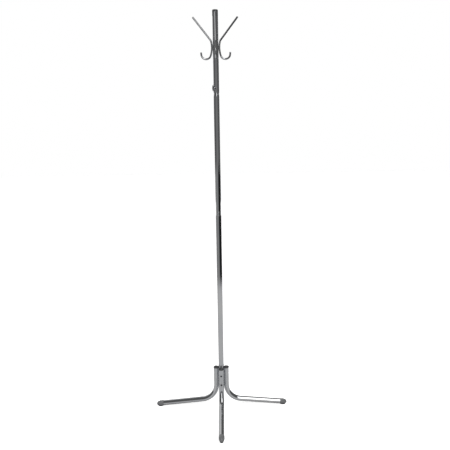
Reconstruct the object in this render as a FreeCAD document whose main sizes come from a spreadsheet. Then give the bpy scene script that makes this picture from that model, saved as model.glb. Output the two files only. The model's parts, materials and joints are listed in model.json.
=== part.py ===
import FreeCAD, Part

import math
import os
import re

import Sketcher

# A standing coat rack of bent chromed tube, in millimetres. The frame's origin is on the floor on the
# pole's axis, with +Z up. Four legs stand at the left, front, right and back (-X, -Y, +X, +Y) and four
# double hooks point the same ways. Each size below can be changed by itself.

SIZES = {
    "rack_height": 1850,            # floor to the top of the cap
    "foot_reach": 322,              # pole axis to the outermost point of a foot
    "pole_diameter": 25,
    "pole_wall": 1.5,
    "pole_clear_height": 95,        # floor to the lower pole tube
    "rim_height": 953,              # floor to the rim of the lower pole tube
    "neck_length": 59,              # bare neck that shows above the rim
    "neck_depth": 70,               # neck that is inside the lower tube
    "head_joint_height": 1504,      # floor to the end of the head tube
    "head_spigot_length": 70,
    "swage_length": 15,             # cone between a neck and the full tube
    "running_clearance": 0.08,      # radial, between a sliding tube and its bore
    "parting_gap": 0.3,             # between faces of two bodies that rest close together
    "leg_diameter": 24,
    "leg_wall": 1.5,
    "leg_top_height": 199.5,
    "leg_bend_radius": 76,
    "leg_slope": 5,                 # degrees that a leg falls on its way out
    "leg_gap": 0.05,                # between a leg and the pole
    "upper_screw_height": 169.5,
    "lower_screw_height": 123.5,
    "screw_diameter": 5,
    "screw_length": 12,
    "lock_screw_diameter": 6,
    "screw_head_diameter": 8.5,
    "screw_head_height": 5,
    "socket_width": 4,
    "socket_depth": 2.5,
    "screw_hole_clearance": 0.2,
    "access_clearance": 0.5,
    "washer_thickness": 2,
    "hub_core_bottom": 112,
    "hub_core_length": 78,
    "plug_flange": 3,
    "plug_insert": 14,
    "leg_plug_overhang": 1.2,
    "leg_plug_height": 4,
    "leg_plug_round": 0.8,
    "foot_wall": 1,
    "foot_sleeve_length": 16,
    "foot_taper_length": 10,        # the foot's cone, between its sleeve and its round nose
    "foot_taper": 16,               # degrees that the cone draws in
    "foot_rim_chamfer": 0.6,
    "sole_width": 16,
    "sole_length": 24,
    "sole_setback": 7,              # foot's tip to the sole's front
    "sole_height": 5,
    "sole_clearance": 1,            # floor to the foot's round body, at the leg's end
    "cap_height": 26,
    "cap_insert": 20,
    "cap_round": 2,
    "rod_diameter": 8,
    "arm_reach": 97.5,              # pole axis to the middle of the arm's end
    "arm_lean": 38.3,               # degrees that the arm leans out from upright
    "arm_root_rise": 26,            # from where the rod touches the pole up to the arm's bend
    "arm_bend_radius": 10,
    "back_radius": 110,             # the shallow bow of the rod between its arm and its cradle
    "cradle_drop": 182.5,           # top of the rack down to the centre of the lower hook's bend
    "cradle_radius": 21,
    "cradle_offset": 4.5,           # how far the cradle's inner side stands off the pole
    "cradle_lean": 4,               # degrees that the hook's end leans out
    "cradle_end": 10,               # straight length at the hook's end
    "rod_round": 3,
    "weld_length": 22,
    "weld_parting": 1.6,            # between the two beads, across the touching line
    "weld_radius": 3.4,
    "lock_height": 1523,
    "lock_bearing": 233,            # degrees from +X, seen from above
    "boss_diameter": 12,
    "boss_length": 4.5,
    "lock_hole_clearance": 0.08,
    "grip_height": 28,
    "grip_thickness": 6,
    "grip_depth": 8,
    "grip_round": 21,               # radius of the grip's outer edge
    "collar_diameter": 10,
    "collar_length": 1.5,
    "catch_width": 9,
    "catch_height": 20,
    "catch_travel": 3,
    "catch_lip": 1.2,
    "catch_lip_margin": 1.2,
    "spring_width": 7,
    "spring_thickness": 0.6,
    "spring_drop": 26,              # button's middle down to the spring's bend
    "spring_bend_radius": 2,        # inside the bend
    "spring_rise": 4,               # how far the spring stands above the button's middle
    "spring_pad": 6,                # straight length behind the button
}

POLE_RADIUS = "(pole_diameter / 2)"
BORE_RADIUS = "(pole_diameter / 2 - pole_wall)"
SPIGOT_RADIUS = "(pole_diameter / 2 - pole_wall - running_clearance)"
SPIGOT_BORE = "(pole_diameter / 2 - 2 * pole_wall - running_clearance)"
LEG_RADIUS = "(leg_diameter / 2)"
LEG_BORE = "(leg_diameter / 2 - leg_wall)"
LEG_AXIS = "(pole_diameter / 2 + leg_diameter / 2 + leg_gap)"
FOOT_RADIUS = "(leg_diameter / 2 + foot_wall)"
TAPER_RADIUS = f"({FOOT_RADIUS} - foot_taper_length * tan(foot_taper))"
NOSE_RADIUS = f"({TAPER_RADIUS} / cos(foot_taper))"
NOSE_LENGTH = f"(foot_taper_length + {NOSE_RADIUS} - {TAPER_RADIUS} * tan(foot_taper))"
LEG_END = f"(foot_reach - {NOSE_LENGTH})"
LEG_END_HEIGHT = f"({FOOT_RADIUS} + sole_clearance)"
BEND_ACROSS = f"({LEG_AXIS} + leg_bend_radius * (1 - sin(leg_slope)))"
BEND_HEIGHT = f"({LEG_END_HEIGHT} + ({LEG_END} - {BEND_ACROSS}) * tan(leg_slope))"
BEND_START_HEIGHT = f"({BEND_HEIGHT} + leg_bend_radius * cos(leg_slope))"
SEAT_RADIUS = f"({LEG_AXIS} - {LEG_BORE})"
HEAD_SEAT = f"({SEAT_RADIUS} + washer_thickness)"
ROD_RADIUS = "(rod_diameter / 2)"
ROD_AXIS = "(pole_diameter / 2 + rod_diameter / 2)"
BACK_AXIS = f"({ROD_AXIS} + back_radius)"
CRADLE_AXIS = f"({ROD_AXIS} + cradle_offset + cradle_radius)"
CRADLE_HEIGHT = "(rack_height - cradle_drop)"
TOUCH_RISE = "sqrt(2 * cradle_offset * (back_radius - cradle_radius) - cradle_offset ^ 2)"
TOUCH_HEIGHT = f"({CRADLE_HEIGHT} + {TOUCH_RISE})"
CATCH_HEIGHT = "(rim_height + parting_gap + catch_height / 2)"

BEARINGS = {"right": 0, "back": 90, "left": 180, "front": 270}

doc = FreeCAD.newDocument("CoatRack")
sheet = doc.addObject("Spreadsheet::Sheet", "Sizes")
parts = []


def fill_sheet():
    for row, (name, size) in enumerate(SIZES.items(), start=1):
        sheet.set(f"A{row}", name)
        sheet.set(f"B{row}", str(size))
        sheet.setAlias(f"B{row}", name)
    doc.recompute()


def bound(expression):
    """The expression with each size's name turned into its cell's."""
    return re.sub(r"[a-z_]+", lambda word: f"Sizes.{word[0]}" if word[0] in SIZES else word[0], expression)


def number(expression):
    return float(sheet.evalExpression(bound(expression)))


def bind(item, path, expression):
    item.setExpression(path, bound(expression))


def turned(item, bearing):
    """Turn a part that was made along +X to its bearing about the pole."""
    item.Placement = FreeCAD.Placement(FreeCAD.Vector(), FreeCAD.Rotation(FreeCAD.Vector(0, 0, 1), bearing))


def keep(item, label):
    item.Label = label
    parts.append(item)
    return item


def new_body(label):
    body = doc.addObject("PartDesign::Body", label)
    body.AllowCompound = True
    return body


def new_sketch(body, name, role, offset="0"):
    """A sketch on one of the body's own origin planes, moved along the plane's normal by offset."""
    sketch = body.newObject("Sketcher::SketchObject", name)
    plane = next(item for item in body.Origin.OriginFeatures if item.Role == role)
    sketch.AttachmentSupport = [(plane, "")]
    sketch.MapMode = "FlatFace"
    if offset != "0":
        bind(sketch, ".AttachmentOffset.Base.z", offset)
    return sketch


def pin(sketch, edge, end, across, up):
    """Hold one end of an edge at two expressions from the sketch's origin."""
    for axis, kind, expression in ((-2, "DistanceX", across), (-1, "DistanceY", up)):
        if expression == "0":
            sketch.addConstraint(Sketcher.Constraint("PointOnObject", edge, end, axis))
            continue
        place = sketch.addConstraint(Sketcher.Constraint(kind, -1, 1, edge, end, number(expression)))
        bind(sketch, f"Constraints[{place}]", expression)


def arc_between(start, finish, radius):
    """The short arc from start to finish; a positive radius turns left, a negative one turns right."""
    if radius < 0:
        start, finish = finish, start
    chord = finish - start
    middle = (start + finish) * 0.5
    rise = math.sqrt(max(radius ** 2 - (chord.Length / 2) ** 2, 0.0))
    centre = middle + FreeCAD.Vector(-chord.y, chord.x, 0).normalize() * rise
    angles = [math.atan2(point.y - centre.y, point.x - centre.x) for point in (start, finish)]
    return Part.ArcOfCircle(Part.Circle(centre, FreeCAD.Vector(0, 0, 1), abs(radius)), *angles)


def size_arc(sketch, edge, start, finish):
    """Bind an arc's radius, or hold a half circle's centre level or in line with its two ends."""
    if (finish[0] == start[0] or finish[1] == start[1]) and is_half_circle(start, finish):
        kind, expression = ("DistanceX", start[0]) if finish[0] == start[0] else ("DistanceY", start[1])
        place = sketch.addConstraint(Sketcher.Constraint(kind, -1, 1, edge, 3, number(expression)))
        bind(sketch, f"Constraints[{place}]", expression)
        return
    place = sketch.addConstraint(Sketcher.Constraint("Radius", edge, abs(number(start[2]))))
    bind(sketch, f"Constraints[{place}]", f"abs({start[2]})")


def is_half_circle(start, finish):
    chord = math.hypot(*(number(finish[axis]) - number(start[axis]) for axis in (0, 1)))
    return abs(chord - 2 * abs(number(start[2]))) < 1e-6


def outline(sketch, points, closed=True):
    """Join points, each a pair of expressions. A third expression makes the edge that follows an arc."""
    spots = [FreeCAD.Vector(number(point[0]), number(point[1]), 0) for point in points]
    total = len(points) if closed else len(points) - 1
    ends = []
    for index in range(total):
        start = spots[index]
        finish = spots[(index + 1) % len(spots)]
        if len(points[index]) == 2:
            edge = sketch.addGeometry(Part.LineSegment(start, finish), False)
            ends.append((edge, 1, 2))
            continue
        radius = number(points[index][2])
        edge = sketch.addGeometry(arc_between(start, finish, radius), False)
        ends.append((edge, 1, 2) if radius > 0 else (edge, 2, 1))
        size_arc(sketch, edge, points[index], points[(index + 1) % len(points)])
    for index in range(total if closed else total - 1):
        this, following = ends[index], ends[(index + 1) % total]
        sketch.addConstraint(Sketcher.Constraint("Coincident", this[0], this[2], following[0], following[1]))
    for index in range(total):
        pin(sketch, ends[index][0], ends[index][1], points[index][0], points[index][1])
    if not closed:
        pin(sketch, ends[-1][0], ends[-1][2], points[-1][0], points[-1][1])


def circle(sketch, across, up, radius):
    centre = FreeCAD.Vector(number(across), number(up), 0)
    edge = sketch.addGeometry(Part.Circle(centre, FreeCAD.Vector(0, 0, 1), number(radius)), False)
    place = sketch.addConstraint(Sketcher.Constraint("Radius", edge, number(radius)))
    bind(sketch, f"Constraints[{place}]", radius)
    pin(sketch, edge, 3, across, up)


def obround(sketch, up, width, height):
    """An upright slot outline, centred across the sketch at a height."""
    half = f"({width}) / 2"
    straight = f"({height} - {width}) / 2"
    outline(sketch, [
        (half, f"{up} - {straight}"),
        (half, f"{up} + {straight}", half),
        (f"-({half})", f"{up} + {straight}"),
        (f"-({half})", f"{up} - {straight}", half),
    ])


def revolve(body, sketch):
    """Turn a profile in the XZ plane about the pole's or screw's own upright axis."""
    feature = body.newObject("PartDesign::Revolution", body.Name + "_revolution")
    feature.Profile = sketch
    feature.ReferenceAxis = (sketch, ["V_Axis"])
    feature.Angle = 360
    return feature


def pad(body, sketch, length, both_ways=False, backwards=False):
    feature = body.newObject("PartDesign::Pad", body.Name + "_pad")
    feature.Profile = sketch
    bind(feature, "Length", length)
    feature.SideType = "Symmetric" if both_ways else "One side"
    feature.Reversed = backwards
    return feature


def pocket(body, sketch, length=None, backwards=False):
    """Cut a sketch through everything on both sides, or one way to a length, and see that it cut."""
    doc.recompute()
    before = body.Shape.Volume
    feature = body.newObject("PartDesign::Pocket", sketch.Name + "_pocket")
    feature.Profile = sketch
    if length is None:
        feature.Type = "ThroughAll"
        feature.SideType = "Symmetric"
    else:
        feature.SideType = "One side"
        bind(feature, "Length", length)
        feature.Reversed = backwards
    doc.recompute()
    if not body.Shape.Volume < before - 1e-3:
        raise RuntimeError(f"{feature.Name} cuts nothing")
    return feature


def pipe(body, sketch, path):
    feature = body.newObject("PartDesign::AdditivePipe", path.Name + "_pipe")
    feature.Profile = sketch
    feature.Spine = path
    return feature


def fillet(body, radius, chosen):
    """Round the edges of the body so far that chosen picks out."""
    doc.recompute()
    tip = body.Tip
    names = [f"Edge{index}" for index, edge in enumerate(tip.Shape.Edges, start=1) if chosen(edge)]
    feature = body.newObject("PartDesign::Fillet", body.Name + "_fillet")
    feature.Base = (tip, names)
    bind(feature, "Radius", radius)


def is_rim(edge, radius):
    return isinstance(edge.Curve, Part.Circle) and abs(edge.Curve.Radius - radius) < 1e-6


def ring_profile(outer, inner, low, high):
    return [(inner, low), (outer, low), (outer, high), (inner, high)]


# ---------------------------------------------------------------- pole

def lower_pole_tube():
    """The lowest tube: its top is the rim that the neck drops into, and its foot takes the leg screws."""
    body = new_body("lower_pole_tube")
    profile = new_sketch(body, "lower_pole_profile", "XZ_Plane")
    outline(profile, ring_profile(POLE_RADIUS, BORE_RADIUS, "pole_clear_height", "rim_height"))
    revolve(body, profile)
    for role in ("XZ_Plane", "YZ_Plane"):
        holes = new_sketch(body, f"pole_screw_holes_{role[:2]}", role)
        for height in ("upper_screw_height", "lower_screw_height"):
            circle(holes, "0", height, "screw_diameter / 2 + screw_hole_clearance")
        pocket(body, holes)
    keep(body, "lower_pole_tube")


def middle_pole_tube():
    """The middle tube, swaged down to a neck at each end, with the catch's slot in the lower neck."""
    body = new_body("middle_pole_tube")
    low = "(rim_height - neck_depth)"
    cone = "(rim_height + neck_length)"
    shoulder = "(head_joint_height - parting_gap)"
    high = "(head_joint_height + head_spigot_length)"
    profile = new_sketch(body, "middle_pole_profile", "XZ_Plane")
    outline(profile, [
        (SPIGOT_BORE, low),
        (SPIGOT_RADIUS, low),
        (SPIGOT_RADIUS, cone),
        (POLE_RADIUS, f"{cone} + swage_length"),
        (POLE_RADIUS, f"{shoulder} - swage_length"),
        (SPIGOT_RADIUS, shoulder),
        (SPIGOT_RADIUS, high),
        (SPIGOT_BORE, high),
        (SPIGOT_BORE, shoulder),
        (BORE_RADIUS, f"{shoulder} - swage_length"),
        (BORE_RADIUS, f"{cone} + swage_length"),
        (SPIGOT_BORE, cone),
    ])
    revolve(body, profile)
    slot = new_sketch(body, "catch_slot", "XZ_Plane")
    slot_width = "catch_width + 2 * running_clearance"
    obround(slot, CATCH_HEIGHT, slot_width, "catch_height + 2 * running_clearance")
    pocket(body, slot, POLE_RADIUS, backwards=True)
    keep(body, "middle_pole_tube")


def head_tube():
    """The top tube, which carries the hooks and turns on the middle tube's upper neck."""
    body = new_body("head_tube")
    profile = new_sketch(body, "head_profile", "XZ_Plane")
    outline(profile, ring_profile(POLE_RADIUS, BORE_RADIUS, "head_joint_height", "rack_height - cap_height"))
    revolve(body, profile)
    hole = new_sketch(body, "lock_hole", "YZ_Plane")
    circle(hole, "0", "lock_height", "lock_screw_diameter / 2 + lock_hole_clearance")
    pocket(body, hole, POLE_RADIUS, backwards=True)
    turned(body, number("lock_bearing"))
    keep(body, "head_tube")


def top_cap():
    """The plug that closes the head tube, flush with it, with a rounded top edge."""
    body = new_body("top_cap")
    seam = "(rack_height - cap_height)"
    profile = new_sketch(body, "top_cap_profile", "XZ_Plane")
    outline(profile, [
        ("0", f"{seam} - cap_insert"),
        (BORE_RADIUS, f"{seam} - cap_insert"),
        (BORE_RADIUS, seam),
        (POLE_RADIUS, seam),
        (POLE_RADIUS, "rack_height - cap_round", "cap_round"),
        (f"{POLE_RADIUS} - cap_round", "rack_height"),
        ("0", "rack_height"),
    ])
    revolve(body, profile)
    keep(body, "top_cap")


def pole_bottom_plug():
    body = new_body("pole_bottom_plug")
    profile = new_sketch(body, "pole_plug_profile", "XZ_Plane")
    outline(profile, [
        ("0", "pole_clear_height - plug_flange"),
        (POLE_RADIUS, "pole_clear_height - plug_flange"),
        (POLE_RADIUS, "pole_clear_height"),
        (BORE_RADIUS, "pole_clear_height"),
        (BORE_RADIUS, "pole_clear_height + plug_insert"),
        ("0", "pole_clear_height + plug_insert"),
    ])
    revolve(body, profile)
    keep(body, "pole_bottom_plug")


def hub_core():
    """The solid slug inside the pole's foot, tapped for the leg screws."""
    body = new_body("hub_core")
    top = "(hub_core_bottom + hub_core_length)"
    profile = new_sketch(body, "hub_core_profile", "XZ_Plane")
    bottom = "hub_core_bottom"
    outline(profile, [("0", bottom), (BORE_RADIUS, bottom), (BORE_RADIUS, top), ("0", top)])
    revolve(body, profile)
    for role in ("XZ_Plane", "YZ_Plane"):
        holes = new_sketch(body, f"core_screw_holes_{role[:2]}", role)
        for height in ("upper_screw_height", "lower_screw_height"):
            circle(holes, "0", height, "screw_diameter / 2")
        pocket(body, holes)
    keep(body, "hub_core")


# ---------------------------------------------------------------- catch in the neck

def catch_button():
    """The oval button that sits on the rim: a flat lip inside the neck and a domed face outside."""
    body = new_body("catch_button")
    face = f"({SPIGOT_RADIUS} + catch_travel)"
    lip_front = f"(sqrt({SPIGOT_BORE} ^ 2 - (catch_width / 2 + catch_lip_margin) ^ 2) - running_clearance)"
    lip = new_sketch(body, "catch_lip_outline", "XZ_Plane", f"{lip_front} - catch_lip")
    obround(lip, CATCH_HEIGHT, "catch_width + 2 * catch_lip_margin", "catch_height + 2 * catch_lip_margin")
    pad(body, lip, "catch_lip")
    stem = new_sketch(body, "catch_stem_outline", "XZ_Plane", lip_front)
    obround(stem, CATCH_HEIGHT, "catch_width", "catch_height")
    pad(body, stem, f"{face} - {lip_front}")
    doc.recompute()
    front = -number(face)
    fillet(body, "catch_travel - catch_lip",
           lambda edge: all(abs(vertex.Point.y - front) < 1e-6 for vertex in edge.Vertexes))
    keep(body, "catch_button")


def catch_spring():
    """The leaf that pushes the button out: one leg on the neck's back wall, one behind the lip."""
    body = new_body("catch_spring")
    lip_back = (
        f"(sqrt({SPIGOT_BORE} ^ 2 - (catch_width / 2 + catch_lip_margin) ^ 2)"
        " - running_clearance - catch_lip - parting_gap)"
    )
    wall = f"(sqrt({SPIGOT_BORE} ^ 2 - (spring_width / 2) ^ 2) - spring_thickness)"
    low = f"({CATCH_HEIGHT} - spring_drop)"
    top = f"({CATCH_HEIGHT} + spring_rise)"
    knee = f"({top} - spring_pad)"
    far_leg = f"({wall} - 2 * spring_bend_radius)"
    profile = new_sketch(body, "catch_spring_outline", "YZ_Plane")
    outline(profile, [
        (wall, CATCH_HEIGHT),
        (wall, low, "-spring_bend_radius"),
        (far_leg, low),
        (f"-({lip_back}) + spring_thickness", knee),
        (f"-({lip_back}) + spring_thickness", top),
        (f"-({lip_back})", top),
        (f"-({lip_back})", knee),
        (f"{far_leg} - spring_thickness", low, "(spring_bend_radius + spring_thickness)"),
        (f"{wall} + spring_thickness", low),
        (f"{wall} + spring_thickness", CATCH_HEIGHT),
    ])
    pad(body, profile, "spring_width", both_ways=True)
    keep(body, "catch_spring")


# ---------------------------------------------------------------- legs

def leg(side, bearing):
    """One leg tube: upright beside the pole, one wide bend, then nearly level out to its foot."""
    body = new_body(f"leg_{side}")
    path = new_sketch(body, f"leg_path_{side}", "XZ_Plane")
    outline(path, [
        (LEG_AXIS, "leg_top_height"),
        (LEG_AXIS, BEND_START_HEIGHT, "leg_bend_radius"),
        (BEND_ACROSS, BEND_HEIGHT),
        (LEG_END, LEG_END_HEIGHT),
    ], closed=False)
    section = new_sketch(body, f"leg_section_{side}", "XY_Plane", "leg_top_height")
    circle(section, LEG_AXIS, "0", LEG_RADIUS)
    circle(section, LEG_AXIS, "0", LEG_BORE)
    pipe(body, section, path)
    for name, plane, radius in (
        ("screw", LEG_AXIS, "screw_diameter / 2 + screw_hole_clearance"),
        ("access", "0", "screw_head_diameter / 2 + access_clearance"),
    ):
        holes = new_sketch(body, f"leg_{name}_holes_{side}", "YZ_Plane", LEG_AXIS)
        for height in ("upper_screw_height", "lower_screw_height"):
            circle(holes, "0", height, radius)
        pocket(body, holes, LEG_RADIUS, backwards=name == "access")
    turned(body, bearing)
    keep(body, f"leg_{side}")


def leg_top_plug(side, bearing):
    """The plug in a leg's top end: a round flange notched to fit against the pole."""
    body = new_body(f"leg_top_plug_{side}")
    insert = new_sketch(body, f"leg_plug_insert_{side}", "XY_Plane", "leg_top_height - plug_insert")
    circle(insert, LEG_AXIS, "0", LEG_BORE)
    pad(body, insert, "plug_insert")
    flange = new_sketch(body, f"leg_plug_flange_{side}", "XY_Plane", "leg_top_height")
    circle(flange, LEG_AXIS, "0", f"{LEG_RADIUS} + leg_plug_overhang")
    pad(body, flange, "leg_plug_height")
    notch = new_sketch(body, f"leg_plug_notch_{side}", "XY_Plane", "leg_top_height")
    circle(notch, "0", "0", f"{POLE_RADIUS} + leg_gap")
    pocket(body, notch, "leg_plug_height", backwards=True)
    top = number("leg_top_height + leg_plug_height")
    rim = number(f"{LEG_RADIUS} + leg_plug_overhang")
    fillet(body, "leg_plug_round", lambda edge: is_rim(edge, rim) and abs(edge.Curve.Center.z - top) < 1e-6)
    turned(body, bearing)
    keep(body, f"leg_top_plug_{side}")


def along_leg(out, up):
    """Expressions for a spot measured along and square to a leg's run, from the middle of its end."""
    across = f"({LEG_END} + ({out}) * cos(leg_slope) + ({up}) * sin(leg_slope))"
    height = f"({LEG_END_HEIGHT} - ({out}) * sin(leg_slope) + ({up}) * cos(leg_slope))"
    return across, height


def spun_about_leg(body, name, points, kind):
    """Turn a profile about the leg's run; the profile's last edge lies on the run's axis."""
    profile = new_sketch(body, name, "XZ_Plane")
    outline(profile, points)
    feature = body.newObject(f"PartDesign::{kind}", name + "_turn")
    feature.Profile = profile
    feature.ReferenceAxis = (profile, [f"Edge{len(points)}"])
    feature.Angle = 360
    return feature


def foot(side, bearing):
    """The foot that sleeves a leg's end: a tapered cap with a round nose, on a flat sole with round ends."""
    body = new_body(f"foot_{side}")
    spun_about_leg(body, f"foot_profile_{side}", [
        along_leg(NOSE_LENGTH, "0") + (NOSE_RADIUS,),
        along_leg("foot_taper_length", TAPER_RADIUS),
        along_leg("0", FOOT_RADIUS),
        along_leg("foot_rim_chamfer - foot_sleeve_length", FOOT_RADIUS),
        along_leg("-foot_sleeve_length", f"{FOOT_RADIUS} - foot_rim_chamfer"),
        along_leg("-foot_sleeve_length", "0"),
    ], "Revolution")
    sole = new_sketch(body, f"foot_sole_{side}", "XY_Plane")
    half = "(sole_width / 2)"
    nose = "(foot_reach - sole_setback - sole_width / 2)"
    heel = "(foot_reach - sole_setback - sole_length + sole_width / 2)"
    outline(sole, [
        (heel, f"-{half}"),
        (nose, f"-{half}", half),
        (nose, half),
        (heel, half, half),
    ])
    pad(body, sole, "sole_height")
    doc.recompute()
    before = body.Shape.Volume
    spun_about_leg(body, f"foot_bore_{side}", [
        along_leg("0", "0"),
        along_leg("0", LEG_RADIUS),
        along_leg("-2 * foot_sleeve_length", LEG_RADIUS),
        along_leg("-2 * foot_sleeve_length", "0"),
    ], "Groove")
    doc.recompute()
    if not body.Shape.Volume < before - 1e-3:
        raise RuntimeError(f"foot_{side} has no bore")
    turned(body, bearing)
    keep(body, f"foot_{side}")


def screw(name, bearing, height):
    """A socket-head screw, made upright and laid along +X with its head outwards."""
    body = new_body(name)
    profile = new_sketch(body, name + "_profile", "XZ_Plane")
    outline(profile, [
        ("0", "-screw_length"),
        ("screw_diameter / 2", "-screw_length"),
        ("screw_diameter / 2", "0"),
        ("screw_head_diameter / 2", "0"),
        ("screw_head_diameter / 2", "screw_head_height"),
        ("0", "screw_head_height"),
    ])
    revolve(body, profile)
    socket = new_sketch(body, name + "_socket", "XY_Plane", "screw_head_height")
    corner = "(socket_width / 2 / cos(30))"
    outline(socket, [
        (f"{corner} * cos({angle})" if angle not in (90, 270) else "0",
         f"{corner} * sin({angle})" if angle not in (0, 180) else "0") for angle in range(0, 360, 60)
    ])
    pocket(body, socket, "socket_depth")
    laid = FreeCAD.Placement(FreeCAD.Vector(number(HEAD_SEAT), 0, number(height)),
                             FreeCAD.Rotation(FreeCAD.Vector(0, 1, 0), 90))
    body.Placement = FreeCAD.Placement(FreeCAD.Vector(),
                                       FreeCAD.Rotation(FreeCAD.Vector(0, 0, 1), bearing)).multiply(laid)
    return body


def washer(name, bearing, height):
    """A saddle washer: flat under the screw's head, round to fit the leg's inside wall."""
    body = new_body(name)
    disc = new_sketch(body, name + "_disc", "YZ_Plane", HEAD_SEAT)
    circle(disc, "0", height, "screw_head_diameter / 2")
    pad(body, disc, "washer_thickness + leg_wall + leg_gap", backwards=True)
    # What is outside the leg's bore, on the pole's side, is cut away.
    inside = f"({SEAT_RADIUS} - washer_thickness)"
    rest = new_sketch(body, name + "_rest", "XY_Plane", f"{height} + screw_head_diameter")
    outline(rest, [
        (inside, "-screw_head_diameter"),
        (LEG_AXIS, "-screw_head_diameter"),
        (LEG_AXIS, f"-({LEG_BORE})", f"-{LEG_BORE}"),
        (SEAT_RADIUS, "0", f"-{LEG_BORE}"),
        (LEG_AXIS, LEG_BORE),
        (LEG_AXIS, "screw_head_diameter"),
        (inside, "screw_head_diameter"),
    ])
    pocket(body, rest, "2 * screw_head_diameter")
    hole = new_sketch(body, name + "_hole", "YZ_Plane", HEAD_SEAT)
    circle(hole, "0", height, "screw_diameter / 2 + screw_hole_clearance")
    pocket(body, hole, "2 * washer_thickness + leg_wall")
    turned(body, bearing)
    return body


def grouped(label, bodies):
    group = doc.addObject("Part::Compound", label)
    group.Links = bodies
    keep(group, label)


def leg_fixings(side, bearing):
    heights = {"upper": "upper_screw_height", "lower": "lower_screw_height"}
    grouped(f"leg_screws_{side}",
            [screw(f"screw_{level}_{side}", bearing, height) for level, height in heights.items()])
    grouped(f"saddle_washers_{side}",
            [washer(f"washer_{level}_{side}", bearing, height) for level, height in heights.items()])


# ---------------------------------------------------------------- head

def hook(side, bearing):
    """One bent rod: an arm out and up, a bowed back that touches the pole, and an upturned cradle."""
    body = new_body(f"hook_{side}")
    section = new_sketch(body, f"hook_section_{side}", "XY_Plane", TOUCH_HEIGHT)
    circle(section, ROD_AXIS, "0", ROD_RADIUS)
    root = "asin(arm_root_rise / back_radius)"
    root_across = f"({BACK_AXIS} - back_radius * cos({root}))"
    root_height = f"({TOUCH_HEIGHT} + arm_root_rise)"
    bend_across = f"({root_across} + arm_bend_radius * (cos({root}) - cos(arm_lean)))"
    bend_height = f"({root_height} - arm_bend_radius * (sin({root}) - sin(arm_lean)))"
    arm = new_sketch(body, f"hook_arm_{side}", "XZ_Plane")
    outline(arm, [
        (ROD_AXIS, TOUCH_HEIGHT, "-back_radius"),
        (root_across, root_height, "-arm_bend_radius"),
        (bend_across, bend_height),
        ("arm_reach", f"{bend_height} + (arm_reach - {bend_across}) / tan(arm_lean)"),
    ], closed=False)
    pipe(body, section, arm)
    drop = f"asin({TOUCH_RISE} / (back_radius - cradle_radius))"
    lean_across = f"({CRADLE_AXIS} + cradle_radius * cos(cradle_lean))"
    lean_height = f"({CRADLE_HEIGHT} - cradle_radius * sin(cradle_lean))"
    cradle = new_sketch(body, f"hook_cradle_{side}", "XZ_Plane")
    outline(cradle, [
        (ROD_AXIS, TOUCH_HEIGHT, "back_radius"),
        (f"{BACK_AXIS} - back_radius * cos({drop})", f"{TOUCH_HEIGHT} - back_radius * sin({drop})",
         "cradle_radius"),
        (CRADLE_AXIS, f"{CRADLE_HEIGHT} - cradle_radius", "cradle_radius"),
        (lean_across, lean_height),
        (f"{lean_across} + cradle_end * sin(cradle_lean)", f"{lean_height} + cradle_end * cos(cradle_lean)"),
    ], closed=False)
    pipe(body, section, cradle)
    outside = number(lean_across) + number("cradle_end * sin(cradle_lean)")
    rod_radius = number(ROD_RADIUS)
    fillet(body, "rod_round", lambda edge: is_rim(edge, rod_radius) and edge.Curve.Center.x > outside - 1e-6)
    turned(body, bearing)
    keep(body, f"hook_{side}")


def hook_weld(side, bearing):
    """The two beads of weld between a hook's rod and the head tube, one on each side of the rod."""
    low = f"({TOUCH_HEIGHT} - weld_length / 2)"
    bead = doc.addObject("Part::Cylinder", f"weld_bead_{side}")
    bind(bead, "Radius", "weld_radius")
    bind(bead, "Height", "weld_length")
    bind(bead, ".Placement.Base.x", f"({POLE_RADIUS} + {ROD_AXIS}) / 2")
    bind(bead, ".Placement.Base.z", low)
    tube = doc.addObject("Part::Cylinder", f"weld_tube_{side}")
    bind(tube, "Radius", POLE_RADIUS)
    bind(tube, "Height", "weld_length + 2 * rod_diameter")
    bind(tube, ".Placement.Base.z", f"{low} - rod_diameter")
    rod = doc.addObject("Part::Torus", f"weld_rod_{side}")
    bind(rod, "Radius1", "back_radius")
    bind(rod, "Radius2", ROD_RADIUS)
    rod.Placement.Rotation = FreeCAD.Rotation(FreeCAD.Vector(1, 0, 0), 90)
    bind(rod, ".Placement.Base.x", BACK_AXIS)
    bind(rod, ".Placement.Base.z", TOUCH_HEIGHT)
    parting = doc.addObject("Part::Box", f"weld_parting_{side}")
    bind(parting, "Length", BACK_AXIS)
    bind(parting, "Width", "weld_parting")
    bind(parting, "Height", "weld_length + 2 * rod_diameter")
    bind(parting, ".Placement.Base.y", "-weld_parting / 2")
    bind(parting, ".Placement.Base.z", f"{low} - rod_diameter")
    weld = bead
    for name, tool in (("clear_of_tube", tube), ("clear_of_rod", rod), ("beads", parting)):
        cut = doc.addObject("Part::Cut", f"weld_{name}_{side}")
        cut.Base = weld
        cut.Tool = tool
        weld = cut
    turned(weld, bearing)
    keep(weld, f"hook_weld_{side}")


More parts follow.
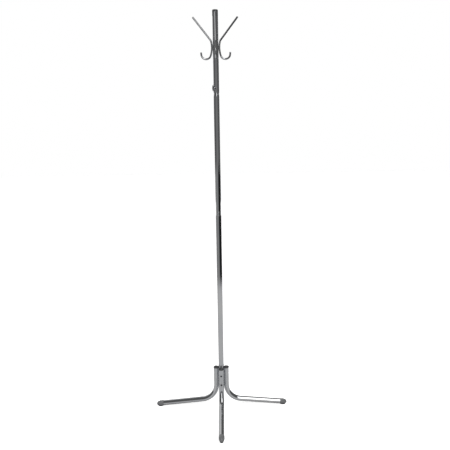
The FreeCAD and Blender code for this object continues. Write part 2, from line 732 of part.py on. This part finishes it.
def lock_boss():
    """The threaded boss welded on the head tube for the lock screw, its back hollowed to the tube."""
    outer = doc.addObject("Part::Cylinder", "boss_outer")
    bind(outer, "Radius", "boss_diameter / 2")
    bind(outer, "Height", f"{POLE_RADIUS} + boss_length")
    bore = doc.addObject("Part::Cylinder", "boss_bore")
    bind(bore, "Radius", "lock_screw_diameter / 2 + lock_hole_clearance")
    bind(bore, "Height", f"{POLE_RADIUS} + 2 * boss_length")
    for item in (outer, bore):
        item.Placement.Rotation = FreeCAD.Rotation(FreeCAD.Vector(0, 1, 0), 90)
        bind(item, ".Placement.Base.z", "lock_height")
    tube = doc.addObject("Part::Cylinder", "boss_tube")
    bind(tube, "Radius", POLE_RADIUS)
    bind(tube, "Height", "4 * boss_diameter")
    bind(tube, ".Placement.Base.z", "lock_height - 2 * boss_diameter")
    bored = doc.addObject("Part::Cut", "boss_bored")
    bored.Base = outer
    bored.Tool = bore
    boss = doc.addObject("Part::Cut", "lock_boss")
    boss.Base = bored
    boss.Tool = tube
    turned(boss, number("lock_bearing"))
    keep(boss, "lock_boss")


def lock_screw():
    """The hand screw that holds the head from turning: shank, collar and an upright leaf-shaped grip."""
    body = new_body("lock_screw")
    tip = f"({SPIGOT_RADIUS} + parting_gap)"
    seat = f"({POLE_RADIUS} + boss_length + parting_gap)"
    shank = new_sketch(body, "lock_shank", "YZ_Plane", tip)
    circle(shank, "0", "lock_height", "lock_screw_diameter / 2")
    pad(body, shank, f"{seat} - {tip} + collar_length")
    collar = new_sketch(body, "lock_collar", "YZ_Plane", seat)
    circle(collar, "0", "lock_height", "collar_diameter / 2")
    pad(body, collar, "collar_length")
    grip = new_sketch(body, "lock_grip", "XZ_Plane")
    inner = f"({seat} + collar_length)"
    outer = f"({inner} + grip_depth)"
    widest = f"({inner} + grip_depth / 3)"
    half = "(grip_height / 2)"
    outline(grip, [
        (inner, "lock_height - collar_diameter / 2"),
        (widest, f"lock_height - {half}", "grip_round"),
        (outer, "lock_height", "grip_round"),
        (widest, f"lock_height + {half}"),
        (inner, "lock_height + collar_diameter / 2"),
    ])
    pad(body, grip, "grip_thickness", both_ways=True)
    turned(body, number("lock_bearing"))
    keep(body, "lock_screw")


def check_objects():
    for item in doc.Objects:
        if "Invalid" in item.State or "Error" in item.State:
            raise RuntimeError(f"{item.Name} failed: {item.State}")
    for part in parts:
        if part.Shape.isNull() or not part.Shape.isValid() or not part.Shape.Solids:
            raise RuntimeError(f"{part.Label} has no valid shape")


def write_parts():
    os.makedirs("parts", exist_ok=True)
    for part in parts:
        part.Shape.exportStep(f"parts/{part.Label}.step")


def build():
    fill_sheet()
    lower_pole_tube()
    middle_pole_tube()
    head_tube()
    top_cap()
    pole_bottom_plug()
    hub_core()
    catch_button()
    catch_spring()
    lock_boss()
    lock_screw()
    for side, bearing in BEARINGS.items():
        leg(side, bearing)
        leg_top_plug(side, bearing)
        foot(side, bearing)
        leg_fixings(side, bearing)
        hook(side, bearing)
        hook_weld(side, bearing)
    doc.recompute()
    check_objects()
    write_parts()
    for part in parts:
        print(f"{part.Label}: {len(part.Shape.Solids)} solid(s), {part.Shape.Volume:.0f} mm3")


build()
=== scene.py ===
import json
import math

import bmesh
import bpy
from mathutils import Matrix, Vector


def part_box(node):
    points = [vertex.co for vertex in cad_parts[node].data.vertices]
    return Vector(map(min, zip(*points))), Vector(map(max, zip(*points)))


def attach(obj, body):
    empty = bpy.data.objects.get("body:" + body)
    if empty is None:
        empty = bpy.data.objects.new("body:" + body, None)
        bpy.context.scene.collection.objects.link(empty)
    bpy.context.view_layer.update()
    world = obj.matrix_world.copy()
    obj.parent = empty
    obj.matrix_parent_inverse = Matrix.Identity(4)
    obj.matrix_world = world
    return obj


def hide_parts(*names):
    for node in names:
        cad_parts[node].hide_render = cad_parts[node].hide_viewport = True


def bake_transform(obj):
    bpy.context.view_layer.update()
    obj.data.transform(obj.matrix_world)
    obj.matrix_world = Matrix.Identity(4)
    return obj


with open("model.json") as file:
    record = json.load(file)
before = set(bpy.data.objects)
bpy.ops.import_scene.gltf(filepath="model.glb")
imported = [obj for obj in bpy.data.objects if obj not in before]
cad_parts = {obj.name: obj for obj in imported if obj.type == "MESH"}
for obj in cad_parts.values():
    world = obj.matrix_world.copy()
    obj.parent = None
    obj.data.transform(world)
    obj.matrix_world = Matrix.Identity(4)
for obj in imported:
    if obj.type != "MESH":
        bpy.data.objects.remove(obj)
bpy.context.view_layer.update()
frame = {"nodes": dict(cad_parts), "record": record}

# The looks of a standing coat rack of bent chromed tube. Everything is in metres, in the CAD frame:
# the floor is at zero and the pole stands on +Z. The sizes below that aren't read from the frame
# repeat those of the CAD model.

BEARINGS = {"right": 0, "back": 90, "left": 180, "front": 270}
MM = 0.001
LEG_SLOPE = math.radians(5)
SOLE_WIDTH = 16 * MM
SOLE_LENGTH = 24 * MM
SOLE_SETBACK = 7 * MM
SOLE_HEIGHT = 5 * MM
FOOT_TAPER_LENGTH = 10 * MM
FOOT_TAPER = math.radians(16)
FOOT_SLEEVE = 16 * MM
FOOT_WALL = 1 * MM
ROD_RADIUS = 4 * MM
BACK_RADIUS = 110 * MM      # the bow of a hook's back
SOLE_CLEARANCE = 1 * MM
LOCK_BEARING = 233          # degrees from +X to the hand screw


# ---------------------------------------------------------------- materials

class Tree:
    """A material's or world's node tree, with short ways to add and join nodes."""

    def __init__(self, owner):
        owner.use_nodes = True
        self.tree = owner.node_tree
        self.tree.nodes.clear()

    def add(self, kind, settings=None, **inputs):
        """A node with its own settings; inputs are values or other nodes' outputs, by socket name."""
        node = self.tree.nodes.new(kind)
        for name, value in (settings or {}).items():
            setattr(node, name, value)
        for name, value in inputs.items():
            self.put(node, name.replace("_", " "), value)
        return node

    def put(self, node, socket, value):
        target = node.inputs[socket] if isinstance(socket, int) else self.socket(node, socket)
        if isinstance(value, bpy.types.NodeSocket):
            self.tree.links.new(value, target)
        else:
            target.default_value = value

    @staticmethod
    def socket(node, name):
        return next(item for item in node.inputs if item.name.lower() == name.lower() and item.enabled)

    def math(self, operation, *values):
        node = self.tree.nodes.new("ShaderNodeMath")
        node.operation = operation
        for place, value in enumerate(values):
            self.put(node, place, value)
        return node.outputs[0]

    def ramp(self, value, low, high, start=0.0, end=1.0, smooth=True):
        """The value carried from low..high to start..end and held at both ends."""
        node = self.add("ShaderNodeMapRange", {"interpolation_type": "SMOOTHSTEP" if smooth else "LINEAR"})
        for place, number in enumerate((value, low, high, start, end)):
            self.put(node, place, number)
        return node.outputs[0]

    def coordinates(self, stretch=(1, 1, 1)):
        place = self.add("ShaderNodeTexCoord")
        return self.add("ShaderNodeMapping", Vector=place.outputs["Object"], Scale=stretch).outputs[0]

    def noise(self, scale, detail=2.0, roughness=0.5, stretch=(1, 1, 1)):
        """Noise whose scale is in features per metre."""
        return self.add("ShaderNodeTexNoise", Vector=self.coordinates(stretch), Scale=scale, Detail=detail,
                        Roughness=roughness).outputs[0]

    def blend(self, factor, first, second):
        node = self.add("ShaderNodeMix", {"data_type": "RGBA"})
        self.put(node, 0, factor)
        self.put(node, 6, first)
        self.put(node, 7, second)
        return node.outputs[2]

    def bump(self, height, strength, distance, normal=None):
        node = self.add("ShaderNodeBump", Height=height, Strength=strength, Distance=distance)
        if normal is not None:
            self.put(node, "Normal", normal)
        return node.outputs[0]

    def soft_edges(self, radius):
        return self.add("ShaderNodeBevel", {"samples": 4}, Radius=radius).outputs[0]

    def surface(self, colour, roughness, normal, **fixed):
        shader = self.add("ShaderNodeBsdfPrincipled", Base_Color=colour, Roughness=roughness, Normal=normal,
                          **fixed)
        self.add("ShaderNodeOutputMaterial", Surface=shader.outputs[0])


def rgb(red, green, blue):
    return (red, green, blue, 1.0)


def chrome(name, polish):
    """Chrome plate: faint tone drift, handling smears in the gloss and fine marks along the polish."""
    material = bpy.data.materials.new(name)
    tree = Tree(material)
    drift = tree.ramp(tree.noise(7, detail=3), 0.35, 0.65)
    colour = tree.blend(drift, rgb(0.735, 0.75, 0.775), rgb(0.80, 0.805, 0.815))
    smear = tree.ramp(tree.noise(38, detail=5, roughness=0.65), 0.52, 0.72, 0.0, 0.06)
    marks = tree.noise(900, detail=4, roughness=0.6, stretch=polish)
    roughness = tree.math("ADD", tree.ramp(marks, 0.3, 0.7, 0.05, 0.085), smear)
    ripple = tree.bump(tree.noise(24, detail=1), 0.3, 0.2 * MM)
    normal = tree.bump(marks, 0.05, 0.01 * MM, ripple)
    tree.surface(colour, roughness, normal, Metallic=1.0)
    return material


def plated_weld():
    """The weld beads under the chrome: duller than the tubes, with spatter and fine stipple."""
    material = bpy.data.materials.new("plated_weld")
    tree = Tree(material)
    stain = tree.ramp(tree.noise(220, detail=4), 0.35, 0.7)
    colour = tree.blend(stain, rgb(0.50, 0.50, 0.51), rgb(0.68, 0.69, 0.70))
    stipple = tree.noise(2400, detail=3)
    roughness = tree.ramp(stipple, 0.3, 0.7, 0.16, 0.34)
    normal = tree.bump(stipple, 0.3, 0.06 * MM)
    tree.surface(colour, roughness, normal, Metallic=1.0)
    return material


def moulded_plastic(name, dark, light, finest, coat, scuff_height):
    """Moulded plastic: a fine stippled skin of the finest roughness and up, a clear coat if it is glossy,
    and paler scuffs below a height above the floor."""
    material = bpy.data.materials.new(name)
    tree = Tree(material)
    mottle = tree.ramp(tree.noise(160, detail=4), 0.3, 0.7)
    colour = tree.blend(mottle, dark, light)
    place = tree.add("ShaderNodeSeparateXYZ", Vector=tree.coordinates())
    low = tree.ramp(place.outputs[2], 0.0, scuff_height, 1.0, 0.0)
    worn = tree.math("MULTIPLY", low, tree.ramp(tree.noise(900, detail=5, roughness=0.7), 0.45, 0.62))
    scuffed = tree.blend(tree.math("MULTIPLY", worn, 0.5), colour, rgb(0.42, 0.42, 0.41))
    grain = tree.noise(3200, detail=2)
    skin = tree.ramp(grain, 0.3, 0.7, finest, finest + 0.1)
    roughness = tree.math("ADD", skin, tree.math("MULTIPLY", worn, 0.25))
    normal = tree.bump(grain, 0.35, 0.05 * MM, tree.soft_edges(0.4 * MM))
    tree.surface(scuffed, roughness, normal, Specular_IOR_Level=0.5, Coat_Weight=coat,
                 Coat_Roughness=0.12)
    return material


def zinc_steel():
    """Bright zinc plate: a faint spangle and a slight warm and cool drift."""
    material = bpy.data.materials.new("zinc_steel")
    tree = Tree(material)
    spangle = tree.add("ShaderNodeTexVoronoi", Vector=tree.coordinates(), Scale=700.0).outputs["Color"]
    tint = tree.ramp(tree.noise(140, detail=3), 0.35, 0.65)
    colour = tree.blend(tint, rgb(0.52, 0.54, 0.58), rgb(0.62, 0.60, 0.56))
    tone = tree.add("ShaderNodeSeparateColor", Color=spangle).outputs[0]
    roughness = tree.ramp(tone, 0.0, 1.0, 0.22, 0.38, smooth=False)
    normal = tree.bump(tone, 0.15, 0.03 * MM, tree.soft_edges(0.25 * MM))
    tree.surface(colour, roughness, normal, Metallic=1.0)
    return material


def give(item, material):
    item.data.materials.clear()
    item.data.materials.append(material)


MATERIALS = {
    "chrome_pole": chrome("chrome_pole", (1, 1, 0.03)),
    "chrome_bent": chrome("chrome_bent", (0.25, 0.25, 1)),
    "black_plastic": moulded_plastic("black_plastic", rgb(0.045, 0.046, 0.048), rgb(0.075, 0.076, 0.079),
                                     finest=0.32, coat=0.0, scuff_height=4 * MM),
    "grey_plastic": moulded_plastic("grey_plastic", rgb(0.13, 0.133, 0.137), rgb(0.18, 0.183, 0.187),
                                    finest=0.24, coat=1.0, scuff_height=5 * MM),
    "zinc_steel": zinc_steel(),
    "plated_weld": plated_weld(),
}
POLE_NODES = ("lower_pole_tube", "middle_pole_tube", "head_tube")


def dress_cad_nodes():
    """Every CAD node takes its material from its slot in the record."""
    looks = {"chrome": "chrome_bent", "weld_metal": "plated_weld"}
    for row in frame["record"]["subparts"]:
        slot = row["material_slot"]
        look = "chrome_pole" if row["node"] in POLE_NODES else looks.get(slot, slot)
        give(frame["nodes"][row["node"]], MATERIALS[look])


# ---------------------------------------------------------------- pieces

def piece_from(mesh_maker, name, body, material, replaced=()):
    """A smooth-shaded piece from a bmesh, riding on the body named, if any, and standing for CAD nodes."""
    mesh = bmesh.new()
    mesh_maker(mesh)
    bmesh.ops.recalc_face_normals(mesh, faces=mesh.faces)
    data = bpy.data.meshes.new(name)
    mesh.to_mesh(data)
    mesh.free()
    item = bpy.data.objects.new(name, data)
    bpy.context.scene.collection.objects.link(item)
    smooth(item)
    give(item, MATERIALS[material])
    if body:
        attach(item, body)
    if replaced:
        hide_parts(*replaced)
    return item


def smooth(item, sharp_angle=40):
    for face in item.data.polygons:
        face.use_smooth = True
    item.data.set_sharp_from_angle(angle=math.radians(sharp_angle))


def lathe(mesh, profile, place, steps=96):
    """Turn (along, radius) pairs about the place's Z axis; radii of zero close the ends."""
    rings = []
    for along, radius in profile:
        if radius < 1e-7:
            rings.append([mesh.verts.new(place @ Vector((0, 0, along)))])
            continue
        turn = [math.tau * step / steps for step in range(steps)]
        rings.append([mesh.verts.new(place @ Vector((radius * math.cos(a), radius * math.sin(a), along)))
                      for a in turn])
    for first, second in zip(rings, rings[1:]):
        for step in range(steps):
            corners = [ring[index % len(ring)] for ring, index in
                       ((first, step), (first, step + 1), (second, step + 1), (second, step))]
            mesh.faces.new(list(dict.fromkeys(corners)))


def stack(mesh, loops):
    """Join closed loops of points, one above the other, and close the first and the last."""
    rings = [[mesh.verts.new(point) for point in loop] for loop in loops]
    for first, second in zip(rings, rings[1:]):
        for step in range(len(first)):
            after = (step + 1) % len(first)
            mesh.faces.new((first[step], first[after], second[after], second[step]))
    mesh.faces.new(rings[0][::-1])
    mesh.faces.new(rings[-1])


def turned(bearing):
    return Matrix.Rotation(math.radians(bearing), 4, "Z")


def along_x(place):
    """A frame at a point whose Z axis lies along the place's own X."""
    return place @ Matrix.Rotation(math.radians(90), 4, "Y")


def arc(centre_along, centre_radius, size, start, end, steps=10):
    """Points of an arc in a lathe profile, with angles in degrees from the outward direction."""
    angles = [math.radians(start + (end - start) * step / steps) for step in range(steps + 1)]
    return [(centre_along + size * math.sin(a), centre_radius + size * math.cos(a)) for a in angles]


def top_cap():
    """The cap in the pole's end: rounded shoulder, shallow dished crown with its gate mark, seam groove."""
    low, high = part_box("top_cap")
    radius = high.x
    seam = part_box("head_tube")[1].z
    rest = seam + 0.02 * MM
    shoulder = 2.2 * MM
    groove = 0.35 * MM
    lead_in = 1 * MM
    insert_radius = radius - 1.5 * MM
    dish_rim = radius - 3.4 * MM
    dish_foot = radius - 4.2 * MM
    dish_floor = high.z - 0.5 * MM
    gate_rim = 1.9 * MM
    gate_foot = 1.5 * MM
    gate_floor = high.z - 0.9 * MM
    profile = [(low.z, 0), (low.z, insert_radius - lead_in), (low.z + lead_in, insert_radius),
               (rest, insert_radius), (rest, radius - groove),
               (seam + groove, radius - groove), (seam + 2 * groove, radius)]
    profile += arc(high.z - shoulder, radius - shoulder, shoulder, 0, 90)
    profile += [(high.z, dish_rim), (dish_floor, dish_foot), (dish_floor, gate_rim),
                (gate_floor, gate_foot), (gate_floor, 0)]
    piece_from(lambda mesh: lathe(mesh, profile, Matrix()), "pole_cap", "head", "black_plastic",
               ["top_cap"])


def foot_shell(side, bearing):
    """The moulded foot: a ribbed sleeve with a rolled rim, a blunt nose and a sole that flow together."""
    low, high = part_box(f"foot_{side}")
    radius = (high.y - low.y) / 2 if side in ("right", "left") else (high.x - low.x) / 2
    reach = max(abs(low.x), abs(low.y), high.x, high.y)
    bore = radius - FOOT_WALL
    rib = 0.35 * MM             # how far the grip ribs stand out
    rib_top = 0.5 * MM          # half a rib's width, at its top and at its foot
    rib_foot = 1.1 * MM
    rim = 0.6 * MM
    rim_end = 2.4 * MM - FOOT_SLEEVE
    taper_radius = radius - FOOT_TAPER_LENGTH * math.tan(FOOT_TAPER)
    nose_radius = taper_radius / math.cos(FOOT_TAPER)
    nose_centre = FOOT_TAPER_LENGTH - taper_radius * math.tan(FOOT_TAPER)
    centre = Vector((reach - nose_centre - nose_radius, 0, radius + SOLE_CLEARANCE))
    place = along_x(Matrix.Translation(centre) @ Matrix.Rotation(LEG_SLOPE, 4, "Y"))
    body = radius - rib
    profile = [(0, 0), (0, bore), (-FOOT_SLEEVE, bore)]
    profile += arc(-FOOT_SLEEVE + rim, radius - rim, rim, -90, 0, 6)
    profile += [(rim_end, radius), (rim_end + 0.8 * MM, body)]
    for middle in (-9 * MM, -5.5 * MM):
        profile += [(middle - rib_foot, body), (middle - rib_top, radius), (middle + rib_top, radius),
                    (middle + rib_foot, body)]
    profile += [(-2.4 * MM, body), (-1.2 * MM, radius), (0, radius)]
    profile += arc(nose_centre, 0, nose_radius, math.degrees(FOOT_TAPER), 90, 16)[:-1]
    profile.append((nose_centre + nose_radius, 0))
    nose = reach - SOLE_SETBACK - SOLE_WIDTH / 2
    heel = reach - SOLE_SETBACK - SOLE_LENGTH + SOLE_WIDTH / 2
    sole_edge = 0.7 * MM

    def sole_loop(height, inset):
        size = SOLE_WIDTH / 2 - inset
        turns = [math.radians(-90 + 180 * step / 16) for step in range(17)]
        front = [Vector((nose + size * math.cos(a), size * math.sin(a), height)) for a in turns]
        back = [Vector((heel - size * math.cos(a), -size * math.sin(a), height)) for a in turns]
        return front + back

    def make(mesh):
        lathe(mesh, profile, place, steps=72)
        stack(mesh, [sole_loop(0, sole_edge), sole_loop(sole_edge, 0), sole_loop(SOLE_HEIGHT, 0)])
        bmesh.ops.transform(mesh, matrix=turned(bearing), verts=mesh.verts)

    item = piece_from(make, f"foot_shell_{side}", "base", "grey_plastic", [f"foot_{side}"])
    remesh = item.modifiers.new("remesh", "REMESH")
    remesh.mode = "VOXEL"
    remesh.voxel_size = 0.4 * MM
    remesh.use_smooth_shade = True
    relax = item.modifiers.new("relax", "SMOOTH")
    relax.factor = 0.5
    relax.iterations = 2


def circle_meeting(first, first_radius, second, second_radius):
    """The crossing point, above the axis, of two circles whose centres lie on the axis."""
    gap = second - first
    along = (gap ** 2 + first_radius ** 2 - second_radius ** 2) / (2 * gap)
    return Vector((first + along, math.sqrt(first_radius ** 2 - along ** 2), 0))


def weld_beads(side, bearing):
    """Two rows of stacked weld scales, in the grooves between a hook's bowed rod and the head tube."""
    low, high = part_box(f"hook_weld_{side}")
    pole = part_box("head_tube")[1].x
    bead = 3.3 * MM
    root_depth = 0.3 * MM       # from the touching line to the bead's root
    touch = (low.z + high.z) / 2
    scale_pitch = 2.2 * MM
    scale_bow = 0.9 * MM        # how far a scale's edges trail its middle
    rows = 132
    across = 12

    def section(height, mirror):
        """One closed loop across a bead: its root in the groove, then its scaled face from pole to rod."""
        rod = pole + ROD_RADIUS + BACK_RADIUS - math.sqrt(BACK_RADIUS ** 2 - (height - touch) ** 2)
        middle = (pole + rod) / 2
        on_pole = circle_meeting(0, pole, middle, bead)
        on_rod = circle_meeting(middle, bead, rod, ROD_RADIUS)
        root = Vector((pole, root_depth, 0))
        outward = ((on_pole + on_rod) / 2 - root).normalized()
        share = (height - low.z) / (high.z - low.z)
        taper = min(1.0, 6 * min(share, 1 - share) + 0.25) ** 0.5
        loop = [root]
        for step in range(across + 1):
            spread = step / across
            crescent = scale_bow * (2 * spread - 1) ** 2
            scale = ((height + crescent) / scale_pitch) % 1.0
            swell = math.sin(math.pi * spread) * (0.25 + 0.45 * scale ** 0.6) * MM
            point = on_pole.lerp(on_rod, spread) + outward * swell
            loop.append(root.lerp(point, taper))
        return [Vector((point.x, point.y * mirror, height)) for point in loop]

    def make(mesh):
        heights = [low.z + (high.z - low.z) * row / rows for row in range(rows + 1)]
        for mirror in (1, -1):
            stack(mesh, [section(height, mirror) for height in heights])
        bmesh.ops.transform(mesh, matrix=turned(bearing), verts=mesh.verts)

    piece_from(make, f"weld_beads_{side}", "head", "plated_weld", [f"hook_weld_{side}"])


def hand_screw():
    """The hand screw: a threaded stem with a collar, and a leaf grip with softened edges and thumb ribs."""
    low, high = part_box("lock_screw")
    height = (low.z + high.z) / 2
    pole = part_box("head_tube")[1].x
    place = turned(LOCK_BEARING) @ Matrix.Translation((0, 0, height))
    tip = pole - 1.28 * MM
    seat = pole + 4.8 * MM
    collar = 1.5 * MM
    stem_radius = 3 * MM
    collar_radius = 5 * MM
    edge = 0.4 * MM
    lead_in = 0.6 * MM
    stem = [(tip, 0), (tip, stem_radius - lead_in), (tip + lead_in, stem_radius), (seat, stem_radius),
            (seat, collar_radius - edge), (seat + edge, collar_radius),
            (seat + collar - edge, collar_radius), (seat + collar, collar_radius - edge),
            (seat + collar, 0)]
    piece_from(lambda mesh: lathe(mesh, stem, along_x(place), steps=64), "hand_screw_stem", "hand_screw",
               "chrome_bent", ["lock_screw"])
    depth = 8 * MM
    half_height = 14 * MM
    half_thick = 3 * MM
    sunk = 0.2 * MM             # how far the grip is let into its collar
    rib = 0.12 * MM
    ribs = 14
    layers = (-1.0, -0.85, -0.45, 0.0, 0.45, 0.85, 1.0)
    points = 96

    def leaf(level):
        """One outline of the grip; the outline draws in towards both faces."""
        pull = 1 - 0.22 * abs(level) ** 3
        loop = []
        for step in range(points):
            turn = math.tau * step / points
            up = math.sin(turn)
            out = math.cos(turn)
            width = depth / 2 * (1 - 0.25 * up * up)
            notch = rib * math.cos(ribs * turn) if abs(up) > 0.4 else 0.0
            loop.append(Vector((
                seat + collar + depth / 2 + pull * (width * out + notch) - sunk,
                level * half_thick,
                pull * half_height * up * (1 - 0.06 * out),
            )))
        return [place @ point for point in loop]

    def make(mesh):
        stack(mesh, [leaf(level) for level in layers])

    grip = piece_from(make, "hand_screw_grip", "hand_screw", "chrome_bent")
    soften = grip.modifiers.new("soften", "BEVEL")
    soften.width = 0.5 * MM
    soften.segments = 3


def leaf_spring():
    """The leaf behind the catch button: its back leg lies on the neck's wall, its front leg stands behind
    the button.
    """
    low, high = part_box("catch_spring")
    thick = 0.6 * MM
    bend = 2.3 * MM             # to the middle of the leaf
    rise = 4 * MM               # from the back leg's end to the front leg's
    pad = 6 * MM                # upright length behind the button
    chamfer = 0.12 * MM
    back = high.y - thick / 2
    front = low.y + thick / 2
    foot = low.z + bend + thick / 2
    turns = [math.pi * step / 14 for step in range(15)]
    corners = [(back - bend + bend * math.cos(a), foot - bend * math.sin(a)) for a in turns]
    corners = [(back, high.z - rise)] + corners + [(front, high.z - pad), (front, high.z)]
    path = []
    for first, second in zip(corners, corners[1:]):
        first, second = Vector((0, *first)), Vector((0, *second))
        parts = max(1, round((second - first).length / MM))
        path += [first.lerp(second, part / parts) for part in range(parts)]
    path.append(Vector((0, *corners[-1])))
    half = (high.x - low.x) / 2

    def make(mesh):
        loops = []
        for index, point in enumerate(path):
            along = path[min(index + 1, len(path) - 1)] - path[max(index - 1, 0)]
            out = Vector((0, -along.z, along.y)).normalized()
            section = [(half, thick / 2 - chamfer), (half - chamfer, thick / 2)]
            section += [(-x, y) for x, y in section[::-1]]
            section += [(x, -y) for x, y in section[::-1]]
            loops.append([point + out * y + Vector((x, 0, 0)) for x, y in section])
        stack(mesh, loops)

    item = piece_from(make, "leaf_spring", None, "zinc_steel", ["catch_spring"])
    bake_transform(item)


def build_pieces():
    top_cap()
    leaf_spring()
    hand_screw()
    for side, bearing in BEARINGS.items():
        foot_shell(side, bearing)
        weld_beads(side, bearing)


# ---------------------------------------------------------------- stage

FLOOR_REACH = 14.0          # half the floor's side
LIT_POOL_RADIUS = 2.05          # the floor near the rack glows with a painted pool of light out to here, as the chrome sees it
LIT_POOL_EDGE = 0.25
CONTACT_REACH = 0.07        # how far from a leg the mirrored floor is in its shade


def floor():
    """A plain pale floor; what the chrome mirrors is a painted pool of light near the rack that falls off
    beyond, darkest to the right, with painted shade close to the legs.
    """
    mesh = bmesh.new()
    bmesh.ops.create_grid(mesh, x_segments=8, y_segments=8, size=FLOOR_REACH)
    data = bpy.data.meshes.new("floor")
    mesh.to_mesh(data)
    mesh.free()
    item = bpy.data.objects.new("floor", data)
    item.location.z = -0.2 * MM
    bpy.context.scene.collection.objects.link(item)
    material = bpy.data.materials.new("floor")
    tree = Tree(material)
    place = tree.add("ShaderNodeSeparateXYZ", Vector=tree.coordinates())
    across, deep = place.outputs[0], place.outputs[1]
    radius = tree.math("SQRT", tree.math("ADD", tree.math("MULTIPLY", across, across),
                                         tree.math("MULTIPLY", deep, deep)))
    # Painted light: the floor the chrome mirrors glows pale near the rack and dark beyond, darkest to the
    # right.
    right = tree.ramp(tree.math("DIVIDE", across, tree.math("ADD", radius, 0.01)), 0.0, 0.35)
    far = tree.blend(right, rgb(0.24, 0.24, 0.24), rgb(0.012, 0.012, 0.013))
    near = tree.blend(tree.noise(3, detail=2), rgb(0.42, 0.42, 0.42), rgb(0.50, 0.50, 0.50))
    painted_floor_light = tree.blend(tree.ramp(radius, LIT_POOL_RADIUS - LIT_POOL_EDGE, LIT_POOL_RADIUS + LIT_POOL_EDGE), near, far)
    # Painted shade: ambient occlusion darkens the mirrored floor within CONTACT_REACH of the legs, standing
    # in for their contact shadow.
    open_sky = tree.add("ShaderNodeAmbientOcclusion", {"samples": 8}, Distance=CONTACT_REACH).outputs["AO"]
    painted_contact_shade = tree.ramp(open_sky, 0.45, 0.95, 0.22, 1.0, smooth=False)
    seen_far = tree.add("ShaderNodeEmission", Color=painted_floor_light, Strength=painted_contact_shade)
    paper = tree.add("ShaderNodeBsdfDiffuse", Color=rgb(0.85, 0.85, 0.85))
    lift = tree.add("ShaderNodeEmission", Color=rgb(1, 1, 1), Strength=0.72)
    seen = tree.add("ShaderNodeAddShader")
    tree.put(seen, 0, paper.outputs[0])
    tree.put(seen, 1, lift.outputs[0])
    camera_ray = tree.add("ShaderNodeLightPath").outputs["Is Camera Ray"]
    mix = tree.add("ShaderNodeMixShader")
    for socket, value in enumerate((camera_ray, seen_far.outputs[0], seen.outputs[0])):
        tree.put(mix, socket, value)
    tree.add("ShaderNodeOutputMaterial", Surface=mix.outputs[0])
    item.data.materials.append(material)


def studio():
    """White behind the rack; round it a dim room with a strip of light and a lamp overhead, and a paler
    wall at the left back."""
    world = bpy.data.worlds.new("studio")
    bpy.context.scene.world = world
    tree = Tree(world)
    way = tree.add("ShaderNodeSeparateXYZ", Vector=tree.add("ShaderNodeTexCoord").outputs["Generated"])
    x, y, z = (way.outputs[axis] for axis in range(3))

    def product(*masks):
        total = masks[0]
        for mask in masks[1:]:
            total = tree.math("MULTIPLY", total, mask)
        return total

    strip = product(tree.ramp(x, 0.05, 0.1), tree.ramp(x, 0.28, 0.36, 1, 0), tree.ramp(z, 0.2, 0.3))
    lamp = product(tree.ramp(x, 0.03, 0.09), tree.ramp(x, 0.45, 0.55, 1, 0), tree.ramp(z, 0.74, 0.82))
    overhead = product(tree.math("MAXIMUM", strip, lamp), tree.ramp(y, -0.02, 0.12, 1, 0))
    left_back = product(tree.ramp(x, -0.08, -0.22), tree.ramp(y, 0.3, 0.5), tree.ramp(z, 0.02, 0.12))
    front = product(tree.ramp(y, -0.5, -0.95), tree.ramp(z, 0.35, 0.1))
    glow = tree.math("ADD", tree.math("MULTIPLY", overhead, 1.9), tree.math("MULTIPLY", left_back, 0.45))
    room = tree.math("ADD", tree.math("MULTIPLY", front, 0.09), 0.095)
    level = tree.math("ADD", glow, room)
    room_light = tree.add("ShaderNodeBackground", Color=rgb(1, 1, 1), Strength=level)
    backdrop = tree.add("ShaderNodeBackground", Color=rgb(1, 1, 1), Strength=1.0)
    camera_ray = tree.add("ShaderNodeLightPath").outputs["Is Camera Ray"]
    mix = tree.add("ShaderNodeMixShader")
    for socket, value in enumerate((camera_ray, room_light.outputs[0], backdrop.outputs[0])):
        tree.put(mix, socket, value)
    tree.add("ShaderNodeOutputWorld", Surface=mix.outputs[0])


def soft_light(name, place, target, size, power):
    light = bpy.data.lights.new(name, "AREA")
    light.shape = "RECTANGLE"
    light.size, light.size_y = size
    light.energy = power
    item = bpy.data.objects.new(name, light)
    item.location = place
    item.rotation_euler = (Vector(target) - Vector(place)).to_track_quat("-Z", "Y").to_euler()
    item.visible_camera = False
    item.visible_glossy = False
    bpy.context.scene.collection.objects.link(item)


def lights():
    """Soft light for the floor and the plastic; the chrome mirrors only the studio round it."""
    soft_light("key_light", (1.6, -2.4, 3.2), (0, 0, 0.6), (2.4, 2.4), 95)
    soft_light("fill_light", (-2.6, -1.2, 2.4), (0, 0, 0.8), (2.0, 2.0), 45)


def camera():
    lens = bpy.data.cameras.new("camera")
    lens.lens = 39.89
    lens.sensor_width = 36.0
    item = bpy.data.objects.new("camera", lens)
    place = Matrix.Translation((0.0267, -2.2756, 1.3337))
    yaw = Matrix.Rotation(math.radians(-0.063), 4, "Z")
    pitch = Matrix.Rotation(math.radians(90 - 10.58), 4, "X")
    roll = Matrix.Rotation(math.radians(-0.868), 4, "Z")
    item.matrix_world = place @ yaw @ pitch @ roll
    bpy.context.scene.collection.objects.link(item)
    bpy.context.scene.camera = item
    bpy.context.scene.view_settings.view_transform = "Standard"


dress_cad_nodes()
build_pieces()
floor()
studio()
lights()
camera()
